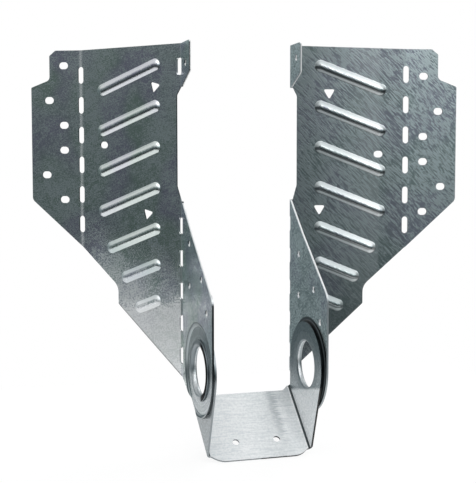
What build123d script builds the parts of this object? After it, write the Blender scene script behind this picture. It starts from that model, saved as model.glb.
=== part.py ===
from build123d import *
import os
from math import cos, radians, sin, tan

# Rafter hanger: two pressed side plates joined by a seat that tilts between them.
# All three pieces are folded from galvanised steel sheet.
# Origin: midway between the side plates, level with the foot of their folds.
# +X is to the right, +Y is back towards the header, +Z is up.

# Sheet, folds and running gaps
sheet = 1.2
fold_radius = 0.6       # inside radius of the folds in the side plates
play = 0.1              # gap between seat and side plate at the pivot, all round

# Stirrup: the clear width for the rafter, and the pivot of the seat
beam_width = 64.4
pivot_reach = 34.4      # pivot in front of the fold line
pivot_rise = 11.2       # pivot above the foot of the fold
seat_slope = 41.0       # tilt of the seat as it hangs, front edge down

# Flanged eyelet of the seat ear, which is the hinge
eye_radius = 14.1
eye_entry = 1.3         # rounding where the ear is drawn into the collar
eye_exit = 2.0          # rounding where the collar turns out into its lip
collar_wall = 1.1
lip_radius = 18.3       # outside of the lip

# Pressed disc round the pivot in the side plate
ear_radius = 26.0
dish_depth = 1.1
dish_margin = 0.3       # flat of the dish beyond the ear
dish_slope = 0.9        # radial width of the step
dish_blend = 0.5        # rounding of the two creases
wall_margin = 1.3       # rim of the wall beyond the step

# Wall of the side plate, measured forward from the fold and up from its foot
fold_foot = 1.4
fold_head = 109.8
wall_bow = (22.0, 90.0)
wall_knee = 55.8
knee_radius = 7.0
bow_radius = 40.0
wall_tail = -97.0       # degrees round the pivot at which the end arc meets the back edge

# Wing of the side plate, measured outward from the fold and up from its foot
flange_line = 71.4
flange_foot = 79.8
flange_head = 203.5
wing_head = 205.8       # top of the wing at the fold
wing_step = 45.2        # outward reach of the wing below the step
step_foot = 44.3
step_head = 55.4
step_radius = 1.5
step_hollow = 9.0       # radius of the hollow corner above the step
window_edge = 3.3       # free inner edge of the wing
window_foot = 118.9
window_head = 174.6
window_radius = 3.0

# Tab folded forward at the top of the wing
tab_reach = 17.5
tab_foot = 179.6
tab_nose = 188.6
tab_crest = 206.8       # top of the tab at its nose
tab_corner = 1.2

# Outer flange, measured outward from the slotted line
flange_width = 32.6
flange_corner = 109.2
upper_width = 20.5
notch_inner = 185.0
notch_outer = 180.3
notch_radius = 3.0
elbow_radius = 4.0
chamfer_foot = 200.2
chamfer_width = 4.0
corner_radius = 1.0

# Punched slots that weaken the fold lines
slot_length = 10.6
slot_width = 3.7
flange_slots = 6
flange_slot_top = 187.9
flange_slot_pitch = 18.8
fold_slots = 5
fold_slot_top = 94.9
fold_slot_pitch = 20.1
tab_slot_rise = 12.3    # centre of the tab's slot above the foot of the tab
tab_slot_shift = 1.3    # and outward from the fold

# Pressed beads
bead_width = 7.0
bead_rise = 1.6
bead_blend = 0.7
bead_tilt = 21.8        # degrees below level, going outward
bead_inner = 18.2       # centre of the inner end
bead_top = 193.2
bead_pitch = 25.2
bead_lower_pitch = 22.4
long_beads = 5
bead_reach = (55.3, 55.3, 55.3, 55.3, 49.5, 39.2, 29.5)

# Nail holes
nail_hole = 4.1
oval_length = 6.0
oval_width = 4.4
spare_length = 5.6
spare_width = 4.2
triangle_radius = 4.25
triangle_corner = 0.8
flange_column = 11.3
flange_middle = 20.9
flange_outer = 23.0
flange_row_top = 194.0
flange_row_gap = 21.8
flange_row_pitch = 15.7
wall_holes = ((16.3, 85.3), (16.3, 59.8), (41.3, 66.0), (51.9, 47.5))

# Hinged seat, measured forward from below the pivot and up from the bearing face
pivot_height = 31.9
seat_fold_radius = 1.8
ear_front = 39.6
ear_back = 8.5
floor_front = 43.6
floor_back = 5.3
nose_inset = 6.7        # rounded front corners, inward from the ears
notch_inset = 5.2       # ends of the straight back edge, inward from the ears
nose_radius = 12.0
notch_corner = 3.0
seat_hole_forward = 30.8
seat_hole_side = 13.0

# What differs between the two plates
left = dict(sweep=-43.4, flange_turn=15.9, row_drop=0.0, nail_drop=0.0, tab_hole=(9.4, 193.6),
            spare_hole=(54.8, 144.1), triangles=((18.5, 180.0), (23.8, 101.7)), triangle_turn=165)
right = dict(sweep=19.4, flange_turn=-10.0, row_drop=7.2, nail_drop=8.4, tab_hole=(10.9, 197.8),
             spare_hole=(54.3, 138.3), triangles=((23.5, 176.6), (17.6, 104.1)), triangle_turn=-90)

# Places that follow from the sizes above
ear_outer = beam_width / 2 + sheet
dish_inner = ear_outer + play
wall_inner = dish_inner + dish_depth
wall_outer = wall_inner + sheet
collar_outer = eye_radius + collar_wall
dish_radius = ear_radius + dish_margin
crease_radius = dish_radius + dish_slope
end_radius = crease_radius + wall_margin
wall_plane = Plane(origin=(wall_outer, 0, 0), x_dir=(0, -1, 0), z_dir=(-1, 0, 0))
pivot = (pivot_reach, pivot_rise)


def outline(points):
    # closed face through (x, y, corner radius) triples
    corners = [(x, y) for x, y, radius in points]
    radii = [radius for x, y, radius in points]
    return make_face(FilletPolyline(*corners, radius=radii, close=True))


def punch(plane, shape):
    # cutter through the sheet that lies on the plane
    return extrude(plane * shape, amount=3 * sheet, both=True)


def around(centre, radius, angle):
    # point at an angle in degrees on a circle
    return (centre[0] + radius * cos(radians(angle)), centre[1] + radius * sin(radians(angle)))


def fold(centre, start, end, foot, head):
    # curved strip of sheet between two panels, with its inside radius about the centre
    middle = (start + end) / 2
    outside = fold_radius + sheet
    inner = [around(centre, fold_radius, angle) for angle in (start, middle, end)]
    outer = [around(centre, outside, angle) for angle in (end, middle, start)]
    edges = [ThreePointArc(*inner), Line(inner[2], outer[0])]
    edges += [ThreePointArc(*outer), Line(outer[2], inner[0])]
    return extrude(Pos(0, 0, foot) * make_face(edges), amount=head - foot)


def capsule(radius, length):
    # round bar with ball ends, along X from its first centre
    profile = [Line((-radius, 0), (length + radius, 0)),
               RadiusArc((length + radius, 0), (length, radius), -radius),
               Line((length, radius), (0, radius)),
               RadiusArc((0, radius), (-radius, 0), -radius)]
    return revolve(make_face(profile), Axis.X, 360)


def add_bead(wing, plane, start, length):
    # the front swells over a round bar and the back is hollow by one sheet less
    radius = (bead_width ** 2 / 4 + bead_rise ** 2) / (2 * bead_rise)
    place = plane * Pos(start[0], start[1], bead_rise - radius) * Rot(0, 0, -bead_tilt)
    front = plane * Pos(start[0], start[1], -sheet / 2) * Rot(0, 0, -bead_tilt)
    span = length + 2 * bead_width
    room = front * Box(span, 2 * bead_width, sheet / 2 + 2 * bead_rise,
                       align=(Align.MIN, Align.CENTER, Align.MIN)).moved(Pos(-bead_width, 0, 0))
    swell = (place * capsule(radius, length)) & room
    joined = wing + swell
    if bead_blend > 0:
        joined = fillet(new_edges(wing, swell, combined=joined), bead_blend)
    return joined - place * capsule(radius - sheet, length)


def wing_panel(side, plane, near, far):
    # main panel between the inner fold and the slotted flange line
    face = outline([(near, fold_foot, 0), (wing_step, step_foot, step_radius),
                    (wing_step, step_head, step_hollow), (far, flange_foot, 0),
                    (far, flange_head, 0), (near, wing_head, 0), (near, tab_foot, 0),
                    (window_edge, window_head, window_radius),
                    (window_edge, window_foot, window_radius),
                    (near, fold_head, 0)])
    wing = extrude(plane * face, amount=-sheet)
    for row, reach in enumerate(bead_reach):
        drop = min(row, long_beads - 1) * bead_pitch + max(row - long_beads + 1, 0) * bead_lower_pitch
        wing = add_bead(wing, plane, (bead_inner, bead_top - drop),
                        (reach - bead_inner) / cos(radians(bead_tilt)))
    for place in side["triangles"]:
        triangle = RegularPolygon(triangle_radius, 3, rotation=side["triangle_turn"])
        triangle = fillet(triangle.vertices(), triangle_corner)
        wing -= punch(plane, Pos(*place) * triangle)
    return wing - punch(plane, Pos(*side["spare_hole"]) * SlotOverall(spare_length, spare_width))


def flange_panel(side, plane, near):
    # outer strip with its six nail holes
    face = outline([(near, flange_foot, 0), (flange_width, flange_corner, elbow_radius),
                    (flange_width, notch_outer, corner_radius), (upper_width, notch_inner, notch_radius),
                    (upper_width, chamfer_foot, corner_radius),
                    (upper_width - chamfer_width, flange_head, corner_radius), (near, flange_head, 0)])
    flange = extrude(plane * face, amount=-sheet)
    top = flange_row_top - side["row_drop"]
    columns = (flange_column, flange_middle, flange_column, flange_column, flange_outer, flange_column)
    for row, column in enumerate(columns):
        height = top if row == 0 else top - flange_row_gap - (row - 1) * flange_row_pitch
        flange -= punch(plane, Pos(column, height) * SlotOverall(oval_length, oval_width))
    return flange


def wall_panel(side, near):
    # wall beside the rafter, dished towards the seat ear round the pivot
    tail = around(pivot, end_radius, wall_tail)
    low = around(pivot, end_radius, wall_tail / 2)
    reach = pivot_reach + end_radius
    upper = FilletPolyline((reach, pivot_rise), (reach, wall_knee), wall_bow, (near, fold_head),
                           (near, fold_foot), tail, radius=[knee_radius, bow_radius, 0, 0])
    face = make_face([upper, ThreePointArc(tail, low, (reach, pivot_rise))])
    wall = extrude(wall_plane * face, amount=sheet)
    shape = extrude(wall_plane * face, amount=2 * (sheet + dish_depth), both=True)
    rim = end_radius + sheet
    creases = (dish_blend + sheet, dish_blend)
    step = FilletPolyline((collar_outer + play, dish_inner), (dish_radius, dish_inner),
                          (crease_radius, wall_inner), (rim, wall_inner), (rim, wall_outer),
                          (crease_radius, wall_outer), (dish_radius, dish_inner + sheet),
                          (collar_outer + play, dish_inner + sheet),
                          radius=[0, *creases, 0, 0, *creases, 0], close=True)
    # the section is drawn with radius along X and depth along Y, then turned to run along X
    turned = Plane(origin=(0, -pivot_reach, pivot_rise), x_dir=(0, -1, 0), z_dir=(0, 0, 1))
    dish = revolve(turned * make_face(step), Axis((0, -pivot_reach, pivot_rise), (1, 0, 0)), 360)
    hub = Pos(wall_inner, -pivot_reach, pivot_rise) * Rot(0, 90, 0) * Cylinder(rim, 8 * sheet)
    wall = (wall - hub) + (dish & shape)
    for forward, height in wall_holes:
        nail = Pos(forward, height - side["nail_drop"]) * Circle(nail_hole / 2)
        wall -= punch(wall_plane, nail)
    return wall


def tab_panel(side, near):
    face = outline([(near, tab_foot, 0), (tab_reach, tab_nose, corner_radius),
                    (tab_reach, tab_crest, tab_corner), (near, wing_head, 0)])
    tab = extrude(wall_plane * face, amount=sheet)
    return tab - punch(wall_plane, Pos(*side["tab_hole"]) * Circle(nail_hole / 2))


def side_plate(side):
    # modelled on the right; the wing's forward sweep and the turn of its flange tell the two apart
    sweep = side["sweep"]
    turn = side["flange_turn"]
    near = fold_radius * tan(radians(45 + sweep / 2))
    direction = (cos(radians(sweep)), -sin(radians(sweep)))
    normal = (-sin(radians(sweep)), -cos(radians(sweep)))
    wing_plane = Plane(origin=(wall_outer, 0, 0), x_dir=(*direction, 0), z_dir=(*normal, 0))
    corner = (wall_outer + flange_line * direction[0], flange_line * direction[1])
    outer_sweep = radians(sweep + turn)
    flange_plane = Plane(origin=(*corner, 0), x_dir=(cos(outer_sweep), -sin(outer_sweep), 0),
                         z_dir=(-sin(outer_sweep), -cos(outer_sweep), 0))

    # the flange fold is hollow in front where the flange turns forward, and behind where it turns back
    depth = fold_radius if turn > 0 else -fold_radius - sheet
    short = abs(depth) * tan(radians(abs(turn) / 2))
    line = flange_line - short
    hollow = (wall_outer + line * direction[0] + depth * normal[0], line * direction[1] + depth * normal[1])
    start = 90 - sweep if turn > 0 else 270 - sweep
    outer_fold = fold(hollow, start, start - turn, flange_foot, flange_head)
    inner = (wall_outer + fold_radius, -near)
    inner_fold = fold(inner, 90 - sweep, 180, fold_foot, fold_head)
    tab_fold = fold(inner, 90 - sweep, 180, tab_foot, wing_head)

    plate = wing_panel(side, wing_plane, near, line) + flange_panel(side, flange_plane, short)
    plate += [outer_fold, inner_fold, tab_fold, wall_panel(side, near), tab_panel(side, near)]

    # slots lie across the folds, square to the line that halves each fold
    half = (normal[0] + 1, normal[1])
    slot = SlotOverall(slot_length, slot_width, rotation=90)
    for row in range(fold_slots):
        height = fold_slot_top - row * fold_slot_pitch
        across = Plane(origin=(wall_outer, 0, height), x_dir=(-half[1], half[0], 0), z_dir=(*half, 0))
        plate -= extrude(across * slot, amount=6 * sheet, both=True)
    shift = (wall_outer + tab_slot_shift * direction[0], tab_slot_shift * direction[1])
    across = Plane(origin=(*shift, tab_foot + tab_slot_rise), x_dir=(-half[1], half[0], 0), z_dir=(*half, 0))
    plate -= extrude(across * slot, amount=6 * sheet, both=True)
    middle = radians(sweep + turn / 2)
    for row in range(flange_slots):
        height = flange_slot_top - row * flange_slot_pitch
        across = Plane(origin=(*corner, height), x_dir=(cos(middle), -sin(middle), 0),
                       z_dir=(-sin(middle), -cos(middle), 0))
        plate -= punch(across, slot)
    return plate


def hinged_seat():
    # level seat with its pivot at the origin, +X across and -Y forward
    inside = beam_width / 2
    floor_edge = inside - seat_fold_radius
    right_half = [(inside - notch_inset, -floor_back, notch_corner), (floor_edge, -ear_back, 0),
                  (floor_edge, ear_front, 0), (inside - nose_inset, floor_front, nose_radius)]
    left_half = [(-x, y, radius) for x, y, radius in reversed(right_half)]
    top = Plane(origin=(0, 0, -pivot_height), x_dir=(1, 0, 0), z_dir=(0, 0, -1))
    seat = extrude(top * outline(right_half + left_half), amount=sheet)
    for side in (-1, 1):
        seat -= punch(top, Pos(side * seat_hole_side, seat_hole_forward) * Circle(nail_hole / 2))

    # ear: a disc round the pivot and the foot on the floor, wrapped by straight edges
    foot = seat_fold_radius - pivot_height
    ear_plane = Plane(origin=(inside, 0, 0), x_dir=(0, -1, 0), z_dir=(-1, 0, 0))
    base = Line((-ear_back, foot), (ear_front, foot))
    ear = extrude(ear_plane * make_hull(Circle(ear_radius).edges() + base.edges()), amount=-sheet)
    hinge = eye_radius + eye_entry + sheet
    ear -= punch(ear_plane, Circle(hinge))

    # collar drawn out of the ear, through the wall and flanged over outside it
    under = inside + 2 * (sheet + play)
    crown = under + collar_wall
    edge_radius = collar_wall / 2
    section = [
        RadiusArc((eye_radius + eye_entry, inside), (eye_radius, inside + eye_entry), eye_entry),
        Line((eye_radius, inside + eye_entry), (eye_radius, crown - eye_exit)),
        RadiusArc((eye_radius, crown - eye_exit), (eye_radius + eye_exit, crown), eye_exit),
        Line((eye_radius + eye_exit, crown), (lip_radius - edge_radius, crown)),
        RadiusArc((lip_radius - edge_radius, crown), (lip_radius, crown - edge_radius), edge_radius),
        Line((lip_radius, crown - edge_radius), (lip_radius, under)),
        Line((lip_radius, under), (collar_outer, under)),
        Line((collar_outer, under), (collar_outer, ear_outer)),
        Line((collar_outer, ear_outer), (hinge, ear_outer)),
        Line((hinge, ear_outer), (hinge, inside)),
        Line((hinge, inside), (eye_radius + eye_entry, inside))]
    turned = Plane(origin=(0, 0, 0), x_dir=(0, -1, 0), z_dir=(0, 0, 1))
    ear += revolve(turned * make_face(section), Axis.X, 360)

    # fold between floor and ear
    centre = (floor_edge, foot)
    outside = seat_fold_radius + sheet
    inner = [around(centre, seat_fold_radius, angle) for angle in (-90, -45, 0)]
    outer = [around(centre, outside, angle) for angle in (0, -45, -90)]
    strip = make_face([ThreePointArc(*inner), Line(inner[2], outer[0]),
                       ThreePointArc(*outer), Line(outer[2], inner[0])])
    across = Plane(origin=(0, ear_back, 0), x_dir=(1, 0, 0), z_dir=(0, -1, 0))
    ear += extrude(across * strip, amount=ear_back + ear_front)
    return seat + ear + mirror(ear, about=Plane.YZ)


parts = {
    "left_side_plate": mirror(side_plate(left), about=Plane.YZ),
    "right_side_plate": side_plate(right),
    "hinged_seat": Pos(0, -pivot_reach, pivot_rise) * Rot(seat_slope, 0, 0) * hinged_seat(),
}

os.makedirs("parts", exist_ok=True)
for name, shape in parts.items():
    export_step(shape, f"parts/{name}.step")
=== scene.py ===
import bpy
import numpy as np
from math import radians
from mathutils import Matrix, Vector


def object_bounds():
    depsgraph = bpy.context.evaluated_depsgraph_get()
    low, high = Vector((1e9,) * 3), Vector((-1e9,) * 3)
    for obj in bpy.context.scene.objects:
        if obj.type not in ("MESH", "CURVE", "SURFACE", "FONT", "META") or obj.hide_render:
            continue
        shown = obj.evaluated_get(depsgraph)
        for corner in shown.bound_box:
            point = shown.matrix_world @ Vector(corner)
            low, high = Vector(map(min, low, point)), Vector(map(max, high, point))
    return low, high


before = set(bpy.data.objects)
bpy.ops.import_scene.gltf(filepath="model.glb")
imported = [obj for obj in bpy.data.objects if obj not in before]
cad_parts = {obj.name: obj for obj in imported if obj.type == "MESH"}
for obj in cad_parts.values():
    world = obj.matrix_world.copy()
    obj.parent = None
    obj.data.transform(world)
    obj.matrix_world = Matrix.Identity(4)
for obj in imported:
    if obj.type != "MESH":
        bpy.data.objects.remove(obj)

# Rafter hanger: two pressed side plates and the seat that tilts between them.
# The steel comes whole from the frame; this script gives it its zinc, its studio and its camera.

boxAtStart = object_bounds()
print("stage: frame loaded")


def linearColour(hexText):
    # sRGB hex to linear, with full alpha
    channels = np.array([int(hexText[i:i + 2], 16) for i in (1, 3, 5)]) / 255.0
    linear = np.where(channels <= 0.04045, channels / 12.92, ((channels + 0.055) / 1.055) ** 2.4)
    return (*linear.tolist(), 1.0)


def addNode(tree, kind, settings=None, links=None, output=None):
    # one node with its settings, and with sockets, plain values or hex colours into its inputs;
    # gives the output that is asked for, or else the first one in use
    node = tree.nodes.new(kind)
    for key, value in (settings or {}).items():
        setattr(node, key, value)
    for key, value in (links or {}).items():
        if isinstance(value, bpy.types.NodeSocket):
            tree.links.new(value, node.inputs[key])
        else:
            node.inputs[key].default_value = linearColour(value) if isinstance(value, str) else value
    if output is not None:
        return node.outputs[output]
    return next((socket for socket in node.outputs if socket.enabled), None)


def newMaterial(name):
    material = bpy.data.materials.new(name)
    material.use_nodes = True
    material.node_tree.nodes.clear()
    return material


def grainPattern(tree, point, grain):
    # spots, or cells, as long, wide and high as the size in metres; the turns, in degrees about
    # x, y and z, lay them along the rolling
    for turn in grain.get("turns", ()):
        point = addNode(tree, "ShaderNodeMapping", None,
                        {"Vector": point, "Rotation": [radians(angle) for angle in turn]})
    point = addNode(tree, "ShaderNodeMapping", None,
                    {"Vector": point, "Scale": [1 / length for length in grain["size"]]})
    if "detail" in grain:
        return addNode(tree, "ShaderNodeTexNoise", None,
                       {"Vector": point, "Scale": 1.0, "Detail": grain["detail"],
                        "Roughness": grain["rough"]})
    cells = addNode(tree, "ShaderNodeTexVoronoi", {"feature": "F1"},
                    {"Vector": point, "Scale": 1.0, "Randomness": 1.0}, "Color")
    return addNode(tree, "ShaderNodeSeparateColor", None, {"Color": cells})


def weighedSum(tree, values, weights, start):
    # start plus each named value times its weight
    total = start
    for name, weight in weights.items():
        total = addNode(tree, "ShaderNodeMath", {"operation": "MULTIPLY_ADD"},
                        {0: values[name], 1: weight, 2: total})
    return total


def areaShare(tree, values, borders, share=1.0):
    # the share inside an area and 0 outside it; a border names a value, says where it is outside
    # and where it is inside, and may be soft
    for name, outside, inside, *soft in borders:
        ease = {"interpolation_type": "SMOOTHSTEP" if soft else "LINEAR"}
        border = addNode(tree, "ShaderNodeMapRange", ease,
                         {"Value": values[name], "From Min": outside, "From Max": inside})
        share = addNode(tree, "ShaderNodeMath", {"operation": "MULTIPLY"}, {0: share, 1: border})
    return share


def tintOf(tree, values, tint):
    # a tint is one colour, or two with the value that leads from the first to the second
    if isinstance(tint, str):
        return tint
    first, second, *border = tint
    return addNode(tree, "ShaderNodeMix", {"data_type": "RGBA"},
                   {0: areaShare(tree, values, (border,)), 6: first, 7: second})


def layCoats(tree, values, surface, coats):
    # each coat brings its tint, its metal and its roughness over what lies below, in its own area
    surface = dict(surface, tint=tintOf(tree, values, surface["tint"]))
    for coat in coats:
        share = areaShare(tree, values, coat["where"], coat.get("share", 1.0))
        if "tint" in coat:
            surface["tint"] = addNode(tree, "ShaderNodeMix", {"data_type": "RGBA"},
                                      {0: share, 6: surface["tint"], 7: tintOf(tree, values, coat["tint"])})
        for part in ("metal", "rough"):
            if part in coat:
                surface[part] = addNode(tree, "ShaderNodeMix", {"data_type": "FLOAT"},
                                        {0: share, 2: surface[part], 3: coat[part]})
    return surface


def ownNormal(tree, kind):
    # normal of the face in the piece's own space, so that it turns with the piece
    normal = addNode(tree, "ShaderNodeNewGeometry", None, None, kind)
    return addNode(tree, "ShaderNodeVectorTransform",
                   {"vector_type": "NORMAL", "convert_from": "WORLD", "convert_to": "OBJECT"},
                   {"Vector": normal})


def flatShare(tree, face, panelNormals, upright):
    # how squarely a face lies in its panel: 1 on a flat panel, less on beads and folds, 0 on a sheared
    # edge; the upright panels face sideways
    best = 0.0
    for normal in panelNormals:
        along = addNode(tree, "ShaderNodeVectorMath", {"operation": "DOT_PRODUCT"}, {0: face, 1: normal})
        along = addNode(tree, "ShaderNodeMath", {"operation": "ABSOLUTE"}, {0: along})
        best = addNode(tree, "ShaderNodeMath", {"operation": "MAXIMUM"}, {0: best, 1: along})
    across = addNode(tree, "ShaderNodeSeparateXYZ", None, {"Vector": face}, "X")
    across = addNode(tree, "ShaderNodeMath", {"operation": "ABSOLUTE"}, {0: across})
    return addNode(tree, "ShaderNodeMix", {"data_type": "FLOAT"}, {0: upright, 2: best, 3: across})


def footReflection(tree, values, foot):
    # a painted reflection: 1 at the foot of a wing and less above it, mottled by the zinc
    reflection = areaShare(tree, values, foot["reflectionBorders"], foot["reflectionShare"])
    low = areaShare(tree, values, foot["footBorders"], foot["footShare"])
    low = addNode(tree, "ShaderNodeMath", {"operation": "ADD"}, {0: reflection, 1: low})
    spots = weighedSum(tree, values, {"zinc": foot["mottle"]}, 1 - foot["mottle"] / 2)
    low = addNode(tree, "ShaderNodeMath", {"operation": "MULTIPLY"}, {0: low, 1: spots})
    return areaShare(tree, values, foot["limits"], low)


# places on the steel, in metres; x is across, y goes back and z up, and reach is the distance
# from the middle of the hanger
hard = 0.00001          # width of a hard border
pivot = (0.0, -0.0344, 0.0112)
wallReach = 0.0362      # just beyond the outside of a wall
wallMiddle = 0.0352     # middle of its sheet
gapReach = 0.03465      # between the two faces of the disc; the inner one looks into the gap by the ear
dishRadius = 0.0266     # the wall is dished inside it
creaseRadius = 0.0290   # and the crease round it ends here
foldReach = 0.0877      # line of the slots between wing and flange
foldHalf = 0.0014       # half the width of its light line
earReach = 0.0321       # just inside the inner face of an ear
earMiddle = 0.0328      # middle of its sheet
onWall = ("reach", wallReach, wallReach - hard)
offWall = ("reach", wallReach - hard, wallReach)
onEar = ("reach", earReach - hard, earReach)
offEar = ("reach", earReach, earReach - hard)
onBead = ("flatness", 0.996, 0.95)
onCut = ("cut", 0.42, 0.30)
inFront = ("y", -0.0012, -0.0012 - hard)        # of the sheet of the wing, at the fold
ringGrain = {"size": (0.001111,) * 3, "detail": 0.0, "rough": 0.5}      # left by pressing the disc

# Hot-dip galvanised sheet, rolled and then pressed. The eye sees grey metal with a cool tint that
# wavers between green and violet, a fine mottle of zinc grains, faint crystals a few millimetres
# across, and short slanting streaks left by the rollers. The sheared edges are bare and darker.
# Some coats are light and shade that the photograph shows and that the room alone doesn't give; they
# are painted on the steel and stay with it, however it is lit or turned.


def plateGrains(mottle, streaks, turn, slant):
    # weights of the mottle and the streaks, and the two turns that lay the streaks along the wing;
    # the mottle is drawn coarser than it is, so that the render can show it, and the hue has no
    # weight, because it only leads the tint
    return {
        "crystals": {"size": (0.0045,) * 3, "weight": 0.12},
        "mottle": {"size": (0.0009,) * 3, "detail": 2.0, "rough": 0.6, "weight": mottle},
        "streaks": {"size": (0.0062, 0.00065, 0.00065), "turns": ((0, 0, turn), (0, slant, 0)),
                    "detail": 1.0, "rough": 0.5, "weight": streaks},
        "clouds": {"size": (0.03571,) * 3, "detail": 2.0, "rough": 0.5, "weight": 0.4},
        "hue": {"size": (0.02857,) * 3, "detail": 1.0, "rough": 0.5, "weight": 0.0},
    }


def plateEnds(side, creaseShade, wallEdge):
    # the disc pressed round the pivot, with rings on its outside and a painted shade in the gap beside the
    # ear on its inside, a painted shade in the crease round it, and the sheared edges, bare steel whose tone
    # on a wall is painted shade on the left and painted light on the right; in a wall, one that looks up is
    # painted light, as the photograph shows it, and so is the far half of a nail hole
    return (
        {"tint": ("#747d80", "#9aa4a7", "rings", 0.35, 0.65), "share": 0.85,
         "where": (("radius", dishRadius + 0.0004, dishRadius), onWall)},
        # painted shade in the gap beside the ear, on the inside of the disc
        {"tint": "#1a1d1f",
         "where": (("reach", gapReach, gapReach - hard),
                   ("radius", dishRadius + 0.00036, dishRadius + 0.00034))},
        # painted shade in the crease round the disc
        {"tint": creaseShade,
         "where": (("radius", creaseRadius, creaseRadius - 0.0003),
                   ("radius", dishRadius, dishRadius + 0.0004), onWall)},
        {"tint": "#454b4f", "where": (onCut, offWall)},
        # a wall's sheared edge: bare steel, its tone a painted shade on the left wall and painted light on
        # the right
        {"tint": wallEdge, "where": (onCut, onWall)},
        {"tint": "#d5dadc", "where": (onCut, onWall, inFront, ("upward", 0.1, 0.6))},
        {"tint": "#f4f4f4", "metal": 0.0,
         "where": (onCut, onWall, inFront, ("y", -0.0590, -0.0590 + hard), ("z", 0.030, 0.030 + hard),
                   ("x", side * wallMiddle, side * wallMiddle + hard))},
    )


leftPlate = {
    "panelNormals": ((-0.6871, -0.7266, 0.0), (-0.4617, -0.8870, 0.0)),     # of wing and flange
    "upright": onWall,
    "grains": plateGrains(0.9, 0.3, 43.4, 20.0),
    "contrast": 4.4,
    "calm": 0.9,            # how far the pattern gives way on pressed faces, and to what share of light zinc
    "calmTone": 0.6,
    "relief": (0.35, 0.00004),      # strength, and depth in metres
    # height above the line of the painted reflection, which climbs outward, above the foot's line and above
    # the lower edge
    "sums": {
        "reflectionHeight": ({"z": 1.0, "reach": -0.5, "zinc": -0.0041}, 0.5 * wallReach),
        "footHeight": ({"z": 1.0, "reach": 0.2, "zinc": -0.0041}, -0.2 * wallReach),
        "edgeHeight": ({"z": 1.0, "reach": -1.308}, 1.308 * wallReach - 0.0014),
    },
    # the painted reflection at the foot of the wing: where it lies and how it is mottled
    "foot": {
        "reflectionBorders": (("reflectionHeight", 0.076, 0.038, "soft"),), "reflectionShare": 0.58,
        "footBorders": (("footHeight", 0.052, 0.041, "soft"),), "footShare": 0.34,
        "mottle": 0.34,
        "limits": (("reach", 0.090, 0.078, "soft"), ("reach", wallReach + 0.0002, wallReach + 0.0003)),
    },
    "base": {"tint": ("#a6b8af", "#b0aec0", "hue", 0.42, 0.58), "metal": 1.0, "rough": 0.27},
    "coats": (
        {"tint": "#f4f8f8", "rough": 0.17, "where": (("zinc", 0.0, 1.0),)},
        {"tint": "#b9c1c2", "share": 0.1, "where": (onBead,)},
        {"rough": 0.28, "where": (("flatness", 0.963, 0.95),)},
        # the fold at the slots shows as a light line, a painted highlight
        {"tint": "#ffffff", "share": 0.5, "metal": 0.5,
         "where": (("reach", foldReach - foldHalf, foldReach, "soft"),
                   ("reach", foldReach + foldHalf, foldReach, "soft"))},
        # painted reflection at the foot of the wing: lighter zinc with less metal
        {"tint": ("#8ea6ac", "#e6e8e9", "foot", 0.25, 0.75), "metal": 0.30, "where": (("foot", 0.0, 1.0),)},
        # the photograph shows a dark line along the lower edge of the wing; its cause isn't known
        {"tint": "#454b4f", "share": 0.8, "where": (("edgeHeight", 0.0014, 0.0007), offWall)},
        *plateEnds(-1, "#7d8588", "#3a4043"),
    ),
}
rightPlate = {
    "panelNormals": ((-0.3322, -0.9432, 0.0), (-0.1633, -0.9866, 0.0)),
    "upright": onWall,
    "grains": plateGrains(0.7, 1.1, 19.4, -46.0),
    "contrast": 5.2,
    "calm": 0.9,
    "calmTone": 0.6,
    "relief": (0.35, 0.00004),
    "base": {"tint": ("#9ca9a8", "#a5a6b2", "hue", 0.42, 0.58), "metal": 1.0, "rough": 0.27},
    "coats": (
        {"tint": "#f8fbfb", "rough": 0.17, "where": (("zinc", 0.0, 1.0),)},
        {"tint": "#b9c1c2", "share": 0.75, "where": (onBead,)},
        {"rough": 0.48, "where": (("flatness", 0.977, 0.95),)},
        # painted shade: under the crown of a bead the photograph shows the zinc darker
        {"tint": "#3a4144", "share": 0.85, "where": (("tilt", -0.46, -0.36), ("tilt", 0.02, -0.08), onBead)},
        # painted light and shade: the wing grows lighter from the wall outward, and darker towards its foot
        {"tint": "#5d666a", "share": 0.32, "where": (("reach", 0.075, wallReach, "soft"), offWall)},
        {"tint": "#ffffff", "share": 0.35,
         "where": (("reach", 0.062, foldReach, "soft"), ("reach", foldReach, foldReach - hard))},
        {"tint": "#5a6667", "share": 0.25, "where": (("z", 0.080, 0.050, "soft"), offWall)},
        {"tint": "#5a6667", "share": 0.333, "where": (("z", 0.050, 0.035, "soft"), offWall)},
        *plateEnds(1, "#4a5053", "#a0a6a9"),
    ),
}
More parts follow.
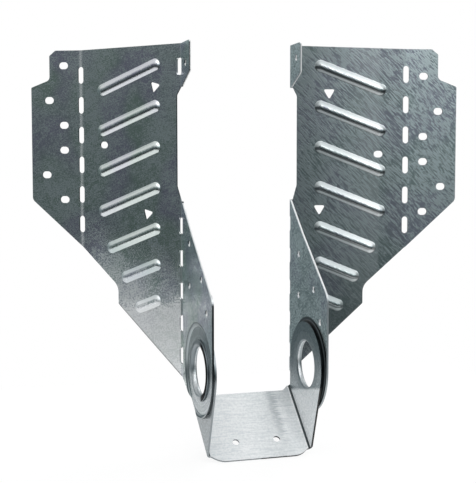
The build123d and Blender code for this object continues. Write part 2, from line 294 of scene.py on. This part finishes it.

# The seat is of the same sheet, brushed in finer lines from side to side. Its ears carry a painted shade
# round the eyelets, the folds beside the floor a painted shade, and the sheared edges are bare, painted
# lighter on the left and near black on the right.
onCollar = ("radius", 0.0200, 0.0200 - hard)
offCollar = ("radius", 0.0200 - hard, 0.0200)
onTube = ("reach", earMiddle + 0.001, earMiddle + 0.001 + hard)      # the collar beyond the ear
outside = ("reach", earMiddle, earMiddle + hard)
inside = ("reach", earMiddle + hard, earMiddle)
onLeft = ("x", 0.0, -hard)
nearSide = ("y", -0.036, -0.042, "soft")
darkLip = (("radius", 0.0182, 0.0182 - hard), onLeft, nearSide)
aboveLine = ("lineHeight", -0.0121, -0.0099, "soft")
earShade = ("#707a7e", "#8d979b", "mottle", 0.36, 0.64)
eyelet = ("#868e92", "#9aa2a5", "x", -hard, 0.0)
seat = {
    "panelNormals": ((0.0, -0.6561, 0.7547),),      # of the floor
    "upright": onEar,
    "grains": {
        "lines": {"size": (0.012, 0.0008, 0.0008), "detail": 2.0, "rough": 0.6, "weight": 1.0},
        "mottle": {"size": (0.0013,) * 3, "detail": 3.0, "rough": 0.6, "weight": 1.0},
    },
    "contrast": 2.4,
    "calm": 0.0,
    "calmTone": 0.6,
    "relief": (0.3, 0.00003),
    # height above the sloping line where the painted shade on the ears ends, and distance from the dark band
    # on the floor
    "sums": {
        "lineHeight": ({"z": 1.0, "y": 0.2, "mottle": 0.002}, -0.001),
        "darkBand": ({"x": 1.0, "lines": 0.012}, -0.0235),
    },
    "base": {"tint": "#dadfe1", "metal": 0.5, "rough": 0.27},
    "coats": (
        {"tint": "#f6f7f8", "where": (("zinc", 0.0, 1.0),)},
        # the floor is a little darker on its left, and in a band there
        {"tint": "#8d979b", "share": 0.34, "where": (("x", 0.0, -0.0322), offEar)},
        {"tint": "#8d979b", "share": 0.42,
         "where": (("darkBand", -0.0045, 0.0, "soft"), ("darkBand", 0.0045, 0.0, "soft"),
                   ("y", -0.044, -0.030, "soft"))},
        # the ears carry a painted shade, darker zinc above the line inside and at their foot outside; below
        # the line they hardly mirror
        {"tint": "#8d979b", "share": 0.15, "where": (("mottle", 0.64, 0.36), onEar)},
        {"metal": 0.12, "where": (onEar,)},
        {"metal": 1.0, "where": (aboveLine, onEar)},
        {"tint": earShade, "where": (aboveLine, onEar, inside)},
        {"tint": earShade, "share": 0.3, "where": (outside,)},
        {"tint": earShade, "share": 0.857, "where": (outside, ("z", 0.01, -0.02))},
        # painted shade in the folds beside the floor
        {"tint": "#3c4346", "where": (("reach", 0.0308, 0.0312), offEar)},
        # the eyelets are rougher, and carry a painted shade but for their foot; the near lip of the left one
        # is painted nearly black, a painted shade as the photograph shows it, and that fades sooner at the
        # foot
        {"rough": 0.36, "where": (onCollar,)},
        {"tint": eyelet, "where": (onCollar, onTube, ("z", 0.006, 0.010, "soft"))},
        {"tint": eyelet, "where": (onCollar, onTube, onLeft, nearSide)},
        {"tint": "#14181a", "rough": 0.85, "where": (*darkLip, ("z", 0.008 - hard, 0.008))},
        {"tint": "#14181a", "rough": 0.85, "where": (*darkLip, nearSide, ("z", 0.008, 0.008 - hard))},
        # the sheared edges: bare steel, painted light on the left and painted shade, near black, on the
        # right
        {"tint": ("#8d9396", "#14181a", "x", -hard, 0.0), "where": (onCut, offCollar)},
    ),
}


def galvanisedSteel(name, look):
    material = newMaterial(name)
    tree = material.node_tree
    point = addNode(tree, "ShaderNodeTexCoord", None, None, "Object")
    values = {axis.lower(): addNode(tree, "ShaderNodeSeparateXYZ", None, {"Vector": point}, axis)
              for axis in "XYZ"}
    values["reach"] = addNode(tree, "ShaderNodeMath", {"operation": "ABSOLUTE"}, {0: values["x"]})

    # distance from the axis on which the seat turns, and the rings that pressing left round it
    away = addNode(tree, "ShaderNodeVectorMath", {"operation": "SUBTRACT"}, {0: point, 1: pivot})
    away = addNode(tree, "ShaderNodeVectorMath", {"operation": "MULTIPLY"}, {0: away, 1: (0.0, 1.0, 1.0)})
    values["radius"] = addNode(tree, "ShaderNodeVectorMath", {"operation": "LENGTH"}, {0: away})
    ringPlace = addNode(tree, "ShaderNodeCombineXYZ", None, {"X": values["radius"]})
    values["rings"] = grainPattern(tree, ringPlace, ringGrain)

    upright = areaShare(tree, values, (look["upright"],))
    smoothFace = ownNormal(tree, "Normal")
    trueFace = ownNormal(tree, "True Normal")
    values["flatness"] = flatShare(tree, smoothFace, look["panelNormals"], upright)
    values["cut"] = flatShare(tree, trueFace, look["panelNormals"], upright)
    values["tilt"] = addNode(tree, "ShaderNodeSeparateXYZ", None, {"Vector": smoothFace}, "Z")
    values["upward"] = addNode(tree, "ShaderNodeSeparateXYZ", None, {"Vector": trueFace}, "Z")

    # share of light zinc from 0 to 1: all grains, weighed about their middle, calmer where pressed
    grains = look["grains"]
    values.update({grainName: grainPattern(tree, point, grain) for grainName, grain in grains.items()})
    weights = {grainName: look["contrast"] * grain["weight"] for grainName, grain in grains.items()}
    zinc = weighedSum(tree, values, weights, 0.5 - sum(weights.values()) / 2)
    zinc = addNode(tree, "ShaderNodeClamp", None, {"Value": zinc})
    calm = areaShare(tree, values, (onBead,), look["calm"])
    values["zinc"] = addNode(tree, "ShaderNodeMix", {"data_type": "FLOAT"},
                             {0: calm, 2: zinc, 3: look["calmTone"]})
    for sumName, (weights, start) in look.get("sums", {}).items():
        values[sumName] = weighedSum(tree, values, weights, start)
    if "foot" in look:
        values["foot"] = footReflection(tree, values, look["foot"])

    surface = layCoats(tree, values, look["base"], look["coats"])
    strength, depth = look["relief"]
    relief = addNode(tree, "ShaderNodeBump", None,
                     {"Height": values["zinc"], "Strength": strength, "Distance": depth})
    shader = addNode(tree, "ShaderNodeBsdfPrincipled", None,
                     {"Base Color": surface["tint"], "Metallic": surface["metal"],
                      "Roughness": surface["rough"], "Normal": relief})
    addNode(tree, "ShaderNodeOutputMaterial", None, {"Surface": shader})
    return material


for nodeName, materialName, look in (("left_side_plate", "galvanised steel left", leftPlate),
                                     ("right_side_plate", "galvanised steel right", rightPlate),
                                     ("hinged_seat", "galvanised steel seat", seat)):
    steel = galvanisedSteel(materialName, look)
    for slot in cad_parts[nodeName].material_slots:
        slot.material = steel
print("stage: steel painted")

# Studio: a small white floor just under the lip of the seat, and a room that the steel mirrors:
# dark below eye level, grey at it, white above, brightest on the camera's side.
# The camera sees plain white behind the object.
studio = {
    "floorFrom": (-0.33, -0.20),
    "floorTo": (0.25, 0.21),
    "floorGap": 0.0002,     # under the lowest point of the steel
    "floorColour": "#ffffff",
    "seenWhite": 0.86,      # how much of the floor's white the camera sees whatever the lamps do
    "mirroredWhite": 0.40,  # and how much of it the steel mirrors
    "eyeColour": "#dbf0f5",
    "ceilingColour": "#ffffff",
    "eyeHeight": 0.05,      # sines of the heights between which the one turns into the other
    "ceilingHeight": 0.40,
    "frontSide": (0.15, -0.989),
    "backSide": (-0.36, 0.933),
    "frontShare": (0.895, 0.935),       # cosines at which the front begins and is full
    "backShare": (0.2, 0.8),
    # sine of the height, and how bright the room is there
    "sideLevels": ((-0.30, 0.05), (-0.22, 0.06), (-0.10, 0.15), (0.08, 0.15), (0.47, 0.87)),
    "frontLevels": ((-0.40, 0.05), (-0.13, 0.13), (-0.06, 0.21), (0.03, 0.37), (0.07, 0.42), (0.40, 2.2)),
    "backLevels": ((-0.30, 0.26), (-0.10, 0.28), (0.05, 0.30), (0.47, 0.87)),
}


def buildFloor(settings, height):
    left, front = settings["floorFrom"]
    right, back = settings["floorTo"]
    mesh = bpy.data.meshes.new("floor")
    corners = [(left, front, height), (right, front, height), (right, back, height), (left, back, height)]
    mesh.from_pydata(corners, [], [(0, 1, 2, 3)])
    floor = bpy.data.objects.new("floor", mesh)
    bpy.context.scene.collection.objects.link(floor)
    material = newMaterial("white studio floor")
    tree = material.node_tree
    paint = addNode(tree, "ShaderNodeBsdfDiffuse", None, {"Color": settings["floorColour"]})
    glow = addNode(tree, "ShaderNodeEmission", None, {"Color": "#ffffff", "Strength": 1.0})
    rays = addNode(tree, "ShaderNodeLightPath").node.outputs
    seen = addNode(tree, "ShaderNodeMath", {"operation": "MAXIMUM"},
                   {0: rays["Is Camera Ray"], 1: rays["Is Transmission Ray"]})
    amount = addNode(tree, "ShaderNodeMath", {"operation": "MULTIPLY"},
                     {0: rays["Is Glossy Ray"], 1: settings["mirroredWhite"]})
    amount = addNode(tree, "ShaderNodeMath", {"operation": "MULTIPLY_ADD"},
                     {0: seen, 1: settings["seenWhite"], 2: amount})
    mixed = addNode(tree, "ShaderNodeMixShader", None, {0: amount, 1: paint, 2: glow})
    addNode(tree, "ShaderNodeOutputMaterial", None, {"Surface": mixed})
    mesh.materials.append(material)


buildFloor(studio, boxAtStart[0][2] - studio["floorGap"])


def sideShare(tree, direction, side, start, full):
    # how far a direction points to one side of the room, whatever its height
    level = addNode(tree, "ShaderNodeVectorMath", {"operation": "MULTIPLY"},
                    {0: direction, 1: (1.0, 1.0, 0.0)})
    level = addNode(tree, "ShaderNodeVectorMath", {"operation": "NORMALIZE"}, {0: level})
    along = addNode(tree, "ShaderNodeVectorMath", {"operation": "DOT_PRODUCT"}, {0: level, 1: (*side, 0.0)})
    return areaShare(tree, {"side": along}, (("side", start, full, "soft"),))


def levelAt(tree, height, levels):
    # brightness on straight lines between the given heights
    total = levels[0][1]
    for (low, first), (high, last) in zip(levels, levels[1:]):
        rise = addNode(tree, "ShaderNodeMapRange", None,
                       {"Value": height, "From Min": low, "From Max": high, "To Max": last - first})
        total = addNode(tree, "ShaderNodeMath", {"operation": "ADD"}, {0: total, 1: rise})
    return total


def buildWorld(settings):
    world = bpy.data.worlds.new("white studio")
    bpy.context.scene.world = world
    world.use_nodes = True
    tree = world.node_tree
    tree.nodes.clear()
    direction = addNode(tree, "ShaderNodeTexCoord", None, None, "Generated")
    height = addNode(tree, "ShaderNodeSeparateXYZ", None, {"Vector": direction}, "Z")
    strength = levelAt(tree, height, settings["sideLevels"])
    for name in ("front", "back"):
        share = sideShare(tree, direction, settings[name + "Side"], *settings[name + "Share"])
        level = levelAt(tree, height, settings[name + "Levels"])
        strength = addNode(tree, "ShaderNodeMix", {"data_type": "FLOAT"}, {0: share, 2: strength, 3: level})
    tint = tintOf(tree, {"height": height}, (settings["eyeColour"], settings["ceilingColour"],
                                             "height", settings["eyeHeight"], settings["ceilingHeight"]))
    room = addNode(tree, "ShaderNodeBackground", None, {"Color": tint, "Strength": strength})
    white = addNode(tree, "ShaderNodeBackground", None, {"Color": "#ffffff", "Strength": 1.0})
    rays = addNode(tree, "ShaderNodeLightPath").node.outputs
    seen = addNode(tree, "ShaderNodeMath", {"operation": "MAXIMUM"},
                   {0: rays["Is Camera Ray"], 1: rays["Is Transmission Ray"]})
    mixed = addNode(tree, "ShaderNodeMixShader", None, {0: seen, 1: room, 2: white})
    addNode(tree, "ShaderNodeOutputWorld", None, {"Surface": mixed})


buildWorld(studio)

lamps = {
    "keyLamp": {"place": (-0.35, -0.75, 1.15), "size": 0.7, "power": 2.0},
    "topLamp": {"place": (0.90, 0.60, 1.10), "size": 0.8, "power": 4.0},
}


def addLamp(name, settings, target=(0.0, -0.02, 0.08)):
    data = bpy.data.lights.new(name, "AREA")
    data.shape = "SQUARE"
    data.size = settings["size"]
    data.energy = settings["power"]
    lamp = bpy.data.objects.new(name, data)
    lamp.location = settings["place"]
    towards = np.array(target) - np.array(settings["place"])
    lamp.rotation_euler = Vector(towards).to_track_quat("-Z", "Y").to_euler()
    bpy.context.scene.collection.objects.link(lamp)


for lampName, settings in lamps.items():
    addLamp(lampName, settings)

view = {
    "place": (-0.24333, -0.74130, 0.15006),
    "turn": (85.18, 0.04, -18.21),      # degrees: tilt, roll, turn
    "focalLength": 95.16,               # mm, on a frame of 476 by 483 that is so wide:
    "frameWidth": 36.0,
    "nearest": 0.01,
}
cameraData = bpy.data.cameras.new("camera")
cameraData.sensor_fit = "HORIZONTAL"
cameraData.sensor_width = view["frameWidth"]
cameraData.lens = view["focalLength"]
cameraData.clip_start = view["nearest"]
camera = bpy.data.objects.new("camera", cameraData)
camera.location = view["place"]
camera.rotation_euler = [radians(angle) for angle in view["turn"]]
bpy.context.scene.collection.objects.link(camera)
bpy.context.scene.camera = camera
bpy.context.scene.view_settings.view_transform = "Standard"
print("stage: studio and camera ready")
